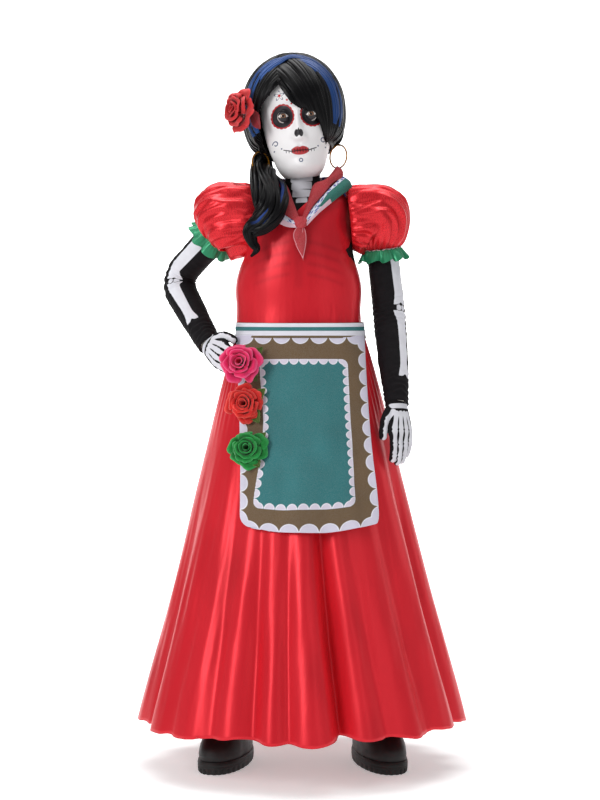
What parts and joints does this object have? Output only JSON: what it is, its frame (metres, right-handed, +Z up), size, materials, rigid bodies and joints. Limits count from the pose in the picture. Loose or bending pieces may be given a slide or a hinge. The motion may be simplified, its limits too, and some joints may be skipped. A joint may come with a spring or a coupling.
{
  "type": "catrina display figure",
  "caption": "Papier-mache catrina display figure in a long satin dress with apron, scarf, gloves, boots and side ponytail, with a turning head, a swinging arm and loose hoop earrings.",
  "frame": {"origin": "on the floor under the middle of the skirt", "axes": "+Z up, the figure faces -Y, +X is the figure's left"},
  "size_m": [0.61, 0.59, 1.3497],
  "materials": {
    "papier_mache": "unpainted pressed paper and paste, matt",
    "painted_face": "papier-mache with a smooth painted calavera face, satin varnish",
    "painted_body": "papier-mache painted black, with white painted neck bones",
    "wood": "sanded pine, unvarnished",
    "plaster": "cast plaster, used as a weight",
    "red_satin": "red polyester satin, glossy",
    "green_satin": "green polyester satin ribbon",
    "blue_satin": "blue satin ribbon",
    "apron_print": "printed cotton: teal centre, brown border, white scallops",
    "waistband": "printed cotton tape in white, teal and brown stripes",
    "scarf_cotton": "layered printed cotton in red, teal, blue and white",
    "glove_jersey": "black jersey with white printed bones",
    "hair": "straight black wig fibre, glossy, with blue streaks in the tail",
    "gold": "polished gold-coloured wire",
    "eye_resin": "painted resin eye, glossy",
    "boot_leather": "smooth black leatherette",
    "boot_rubber": "black moulded sole",
    "pink_felt": "pink felt petals",
    "red_felt": "red felt petals",
    "green_felt": "green felt petals",
    "leaf_felt": "olive green felt leaves"
  },
  "bodies": {
    "figure": {"apron_panel": "apron_print", "apron_waistband": "waistband", "arm_core_right": "papier_mache", "back_fastening": "red_satin", "boot_left": "boot_leather", "boot_right": "boot_leather", "dress_bodice": "red_satin", "dress_skirt": "red_satin", "foot_left": "plaster", "foot_right": "plaster", "glove_right": "glove_jersey", "hip_block": "wood", "leg_left": "papier_mache", "leg_post_left": "wood", "leg_post_right": "wood", "leg_right": "papier_mache", "neck_ring": "wood", "ponytail": "hair", "rose_green": "green_felt", "rose_leaves_green": "leaf_felt", "rose_leaves_pink": "leaf_felt", "rose_leaves_red": "leaf_felt", "rose_pink": "pink_felt", "rose_red": "red_felt", "scarf_collar": "scarf_cotton", "scarf_knot": "scarf_cotton", "scarf_tails": "scarf_cotton", "shoulder_dowel": "wood", "sleeve_frill_right": "green_satin", "sleeve_right": "red_satin", "sole_left": "boot_rubber", "sole_right": "boot_rubber", "spine_post": "wood", "torso_shell": "painted_body", "waistband_tab": "waistband"},
    "head": {"head_socket": "wood", "head_shell": "painted_face", "eye_left": "eye_resin", "eye_right": "eye_resin", "wig": "hair", "headband": "blue_satin", "hair_rose": "red_felt", "hair_rose_leaf": "red_felt", "ponytail_root": "hair"},
    "left_arm": {"arm_core_left": "papier_mache", "glove_left": "glove_jersey", "sleeve_left": "red_satin", "sleeve_frill_left": "green_satin"},
    "earring_left": {"earring_left": "gold"},
    "earring_right": {"earring_right": "gold"}
  },
  "joints": [
    {"name": "head_turn", "type": "hinge", "parent": "figure", "child": "head", "pos_m": [0, 0, 1.1195], "axis": [0, 0, 1], "range_deg": [-25, 25]},
    {"name": "left_arm_swing", "type": "hinge", "parent": "figure", "child": "left_arm", "pos_m": [0.114, 0, 1.045], "axis": [-1, 0, 0], "range_deg": [0, 30]},
    {"name": "earring_left_swing", "type": "hinge", "parent": "head", "child": "earring_left", "pos_m": [0.06779, -0.004, 1.17419], "axis": [1, 0, 0], "range_deg": [-20, 20]},
    {"name": "earring_right_swing", "type": "hinge", "parent": "head", "child": "earring_right", "pos_m": [-0.07965, -0.004, 1.16129], "axis": [1, 0, 0], "range_deg": [-20, 20]}
  ]
}
